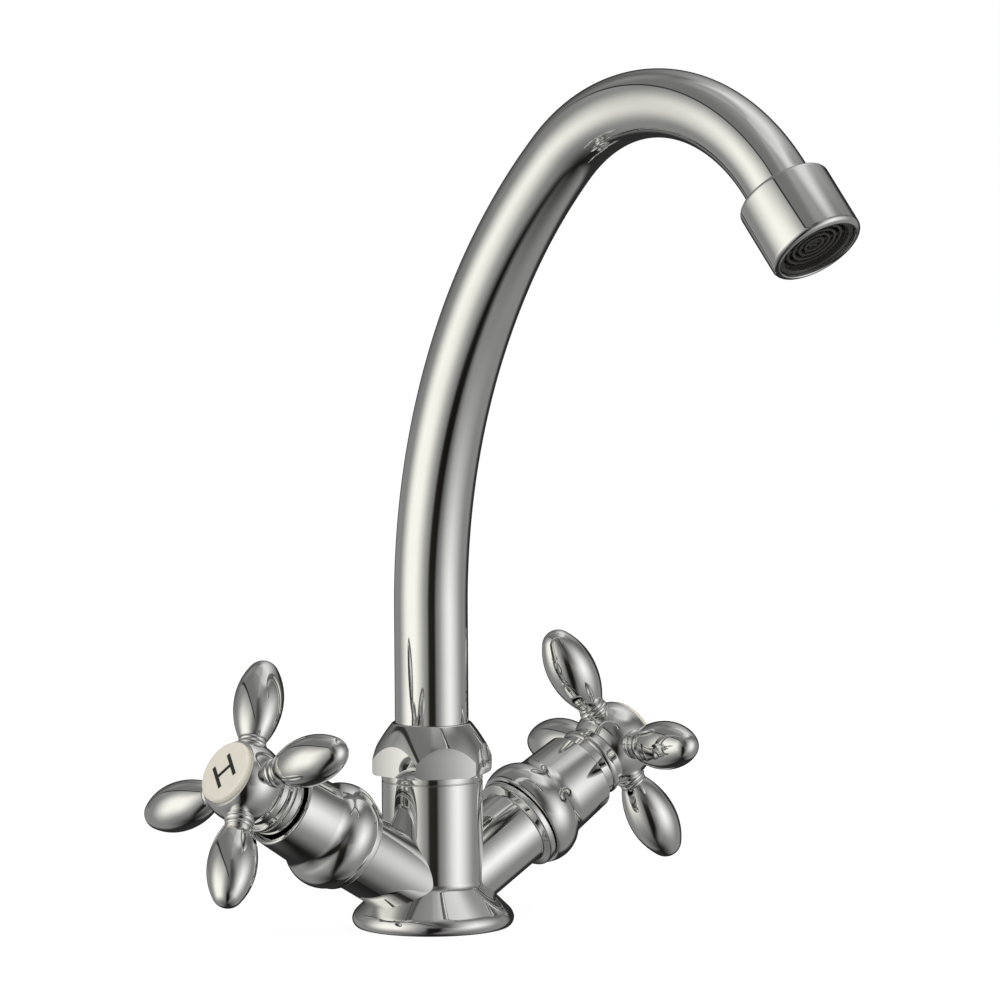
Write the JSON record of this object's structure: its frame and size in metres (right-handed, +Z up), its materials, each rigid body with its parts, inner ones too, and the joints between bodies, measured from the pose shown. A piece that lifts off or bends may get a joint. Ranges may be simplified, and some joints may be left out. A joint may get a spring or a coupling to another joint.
{
  "type": "kitchen mixer tap",
  "caption": "Deck-mounted kitchen mixer with a round foot, slanted valve arms carrying cross handles with egg-shaped lobes, and a tapering gooseneck spout that swivels in a crowned nut.",
  "frame": {"origin": "centre of the round foot, on the deck face that it stands on", "axes": "+Z up along the stub and the spout's riser; -Y the front, where the spout points; +X towards the cold handle and -X towards the hot handle"},
  "size_m": [0.1824, 0.2122, 0.2591],
  "materials": {
    "chrome": "polished",
    "brass": "machined",
    "steel": "bright",
    "ceramic": "lapped",
    "rubber": "matt",
    "fibre": "matt",
    "ivory": "satin",
    "acetal": "matt",
    "dark_acetal": "matt"
  },
  "bodies": {
    "mixer_body": {"body_casting": "chrome", "base_seal": "rubber", "hot_seat_seal": "rubber", "hot_fixed_disc": "ceramic", "hot_headwork": "brass", "hot_headwork_gasket": "fibre", "hot_shroud": "chrome", "cold_seat_seal": "rubber", "cold_fixed_disc": "ceramic", "cold_headwork": "brass", "cold_headwork_gasket": "fibre", "cold_shroud": "chrome", "spout_union_nut": "chrome", "spout_seat_washer": "acetal", "spout_glide_ring": "acetal"},
    "spout": {"spout_ferrule": "brass", "spout_o_rings": "rubber", "spout_tube": "chrome", "outlet_collar": "chrome", "aerator_housing": "dark_acetal", "aerator_grille": "dark_acetal", "aerator_core": "dark_acetal", "aerator_screen": "steel", "aerator_washer": "rubber"},
    "hot_handle": {"hot_moving_disc": "ceramic", "hot_spindle": "brass", "hot_spindle_o_rings": "rubber", "hot_spindle_clip": "steel", "hot_handle": "chrome", "hot_handle_screw": "steel", "hot_index_cap": "ivory"},
    "cold_handle": {"cold_moving_disc": "ceramic", "cold_spindle": "brass", "cold_spindle_o_rings": "rubber", "cold_spindle_clip": "steel", "cold_handle": "chrome", "cold_handle_screw": "steel", "cold_index_cap": "ivory"}
  },
  "joints": [
    {"name": "spout_swivel", "type": "hinge", "parent": "mixer_body", "child": "spout", "pos_m": [0, 0, 0.055], "axis": [0, 0, 1], "continuous": true},
    {"name": "hot_handle_turn", "type": "hinge", "parent": "mixer_body", "child": "hot_handle", "pos_m": [-0.0433, 0, 0.034], "axis": [-0.866, 0, 0.5], "range_deg": [0, 90]},
    {"name": "cold_handle_turn", "type": "hinge", "parent": "mixer_body", "child": "cold_handle", "pos_m": [0.0433, 0, 0.034], "axis": [0.866, 0, 0.5], "range_deg": [-90, 0]}
  ]
}
